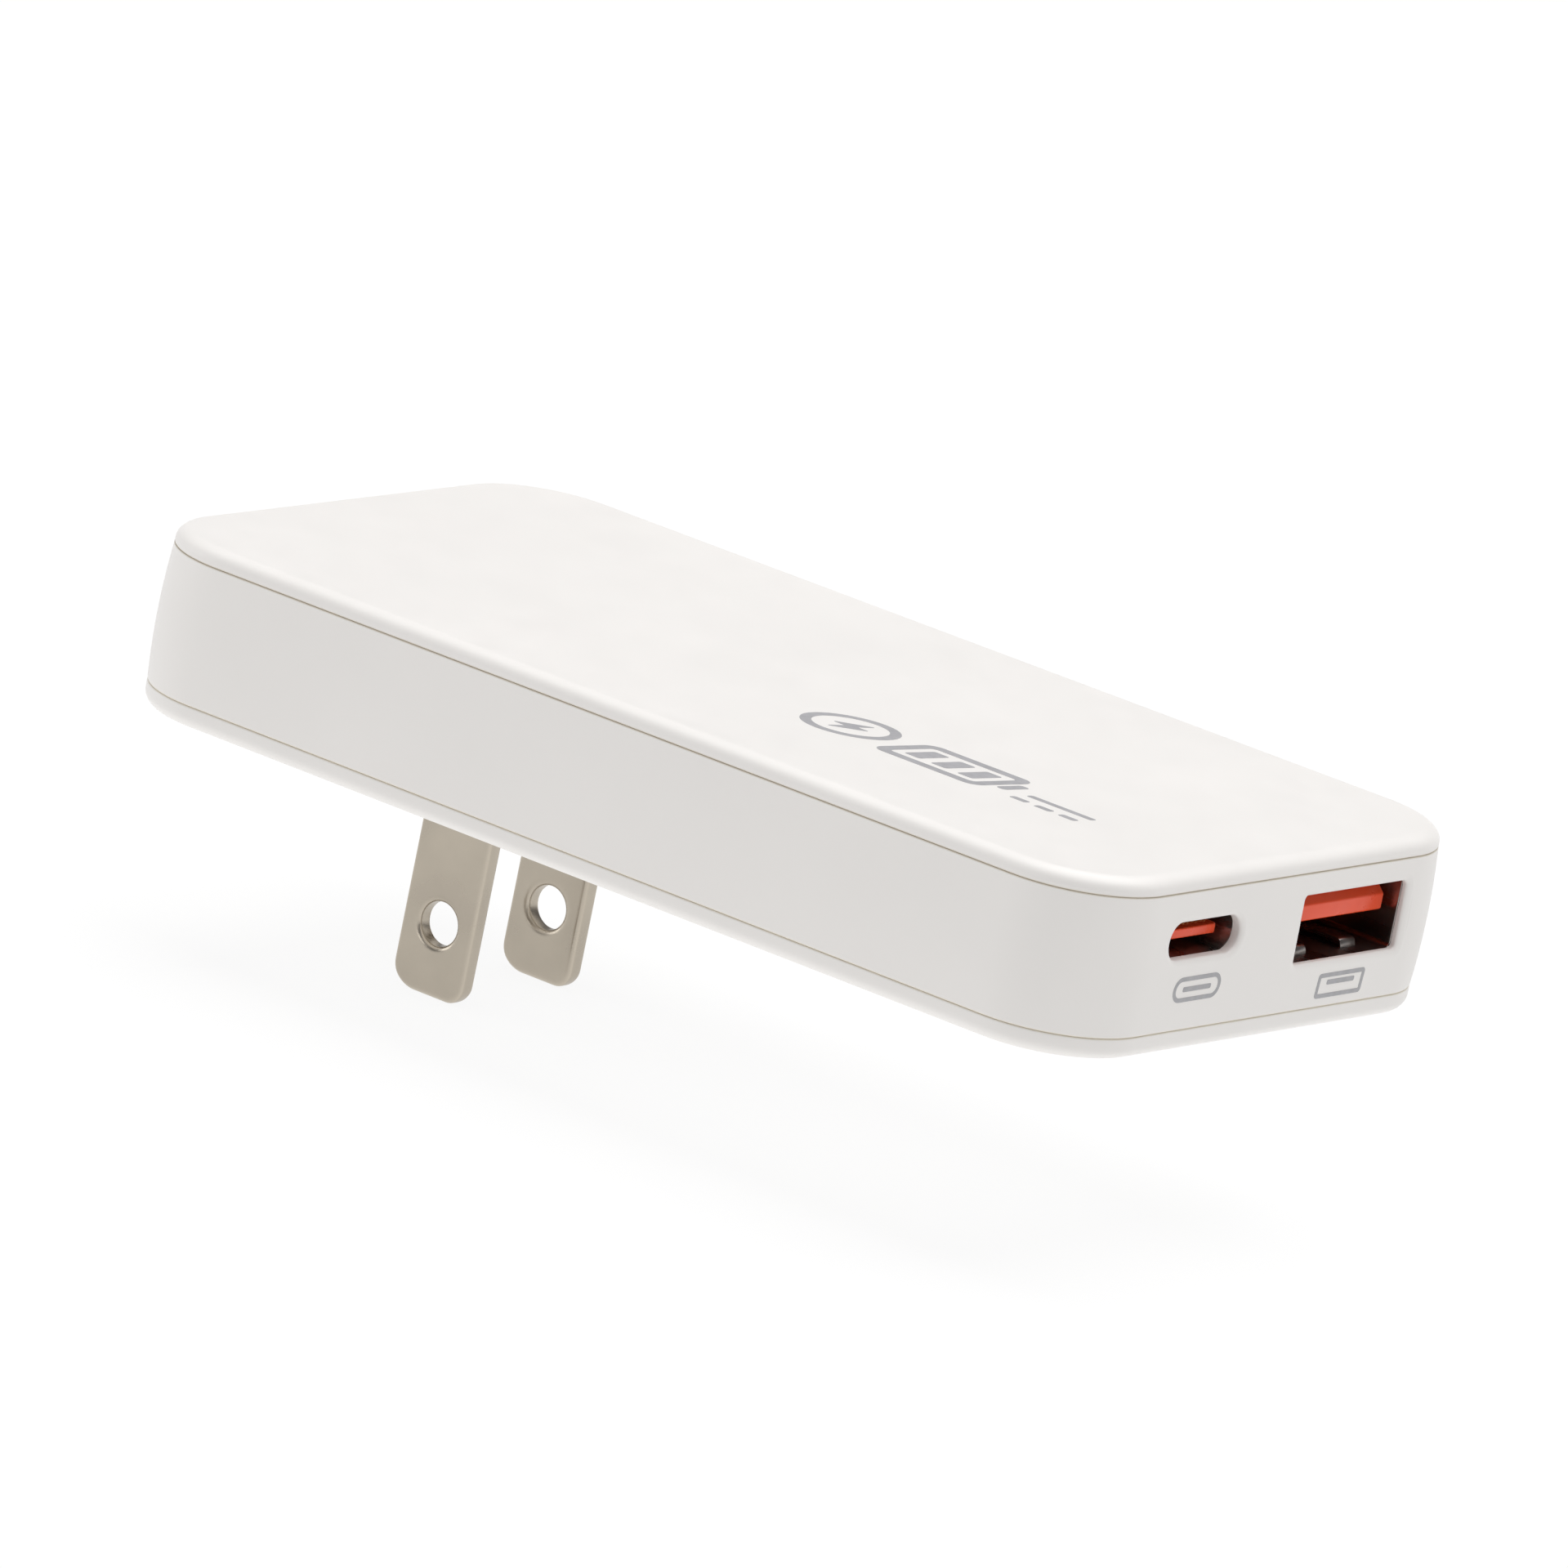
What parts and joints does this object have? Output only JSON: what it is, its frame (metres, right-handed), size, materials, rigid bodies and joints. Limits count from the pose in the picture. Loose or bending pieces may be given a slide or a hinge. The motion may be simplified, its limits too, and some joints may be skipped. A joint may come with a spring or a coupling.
{
  "type": "usb wall charger",
  "caption": "Slim flat USB wall charger with folding mains blades under its back end and a USB-C and a USB-A port side by side in its front end.",
  "frame": {"origin": "midway between the two blades, on the flat face that meets the wall outlet", "axes": "+X towards the port end (the body's length), +Y across the body, +Z from the outlet face to the top cover; the blades point along -Z"},
  "size_m": [0.0859, 0.0464, 0.03],
  "materials": {
    "white_housing": "satin white moulded plastic, fine spark texture",
    "white_inner": "matte white moulded plastic",
    "nickel_blade": "satin nickel plate on brass",
    "copper_leaf": "bare copper alloy strip",
    "spring_steel": "bright spring steel",
    "black_wire": "soft wire sleeve, black",
    "white_wire": "soft wire sleeve, white",
    "green_board": "glass-epoxy board with solder mask",
    "amber_film": "thin insulating film",
    "fuse_body": "glazed ceramic tube with nickel caps",
    "green_disc": "dipped epoxy disc",
    "blue_disc": "dipped epoxy disc",
    "yellow_box": "film capacitor box",
    "ferrite": "sintered ferrite",
    "green_ferrite": "coated ferrite ring",
    "enamel_wire": "enamelled copper wire",
    "yellow_tape": "polyester winding tape",
    "capacitor_sleeve": "shrunk sleeve on aluminium can",
    "can_aluminium": "bare aluminium can",
    "chip_epoxy": "moulded epoxy",
    "white_chip": "moulded epoxy, white",
    "grey_block": "pressed metal powder",
    "tan_ceramic": "sintered ceramic with tinned ends",
    "spreader_aluminium": "folded aluminium sheet",
    "grey_pad": "soft silicone pad",
    "port_steel": "nickel-plated steel sheet",
    "orange_tongue": "orange-red moulded plastic",
    "gold_contact": "gold-plated contact strip"
  },
  "bodies": {
    "housing": {"top_cover": "white_housing", "side_frame": "white_housing", "bottom_cover": "white_housing", "prong_tray": "white_inner", "live_contact_leaf": "copper_leaf", "neutral_contact_leaf": "copper_leaf", "detent_spring": "spring_steel", "live_lead_wire": "black_wire", "neutral_lead_wire": "white_wire", "main_board": "green_board", "insulation_film": "amber_film", "fuse": "fuse_body", "inrush_thermistor": "green_disc", "x_capacitor": "yellow_box", "choke_core": "green_ferrite", "choke_windings": "enamel_wire", "bridge_rectifier": "chip_epoxy", "bulk_capacitor_1": "capacitor_sleeve", "bulk_capacitor_2": "capacitor_sleeve", "bulk_capacitor_3": "capacitor_sleeve", "transformer_core": "ferrite", "transformer_windings": "yellow_tape", "gan_switch": "chip_epoxy", "control_chip": "chip_epoxy", "optocoupler": "white_chip", "y_capacitor": "blue_disc", "sync_rectifier": "chip_epoxy", "output_capacitors": "can_aluminium", "output_inductor": "grey_block", "usb_control_chip": "chip_epoxy", "chip_resistors": "chip_epoxy", "chip_capacitors": "tan_ceramic", "heat_spreader": "spreader_aluminium", "thermal_pad": "grey_pad", "usb_a_shell": "port_steel", "usb_a_tongue": "orange_tongue", "usb_a_contacts": "gold_contact", "usb_c_shell": "port_steel", "usb_c_tongue": "orange_tongue", "usb_c_contacts": "gold_contact", "port_board": "green_board", "port_board_pins": "gold_contact"},
    "prongs": {"prong_carrier": "white_inner", "live_blade": "nickel_blade", "neutral_blade": "nickel_blade"}
  },
  "joints": [
    {"name": "prong_fold", "type": "hinge", "parent": "housing", "child": "prongs", "pos_m": [0, 0, 0.0038], "axis": [0, -1, 0], "range_deg": [0, 90]}
  ]
}
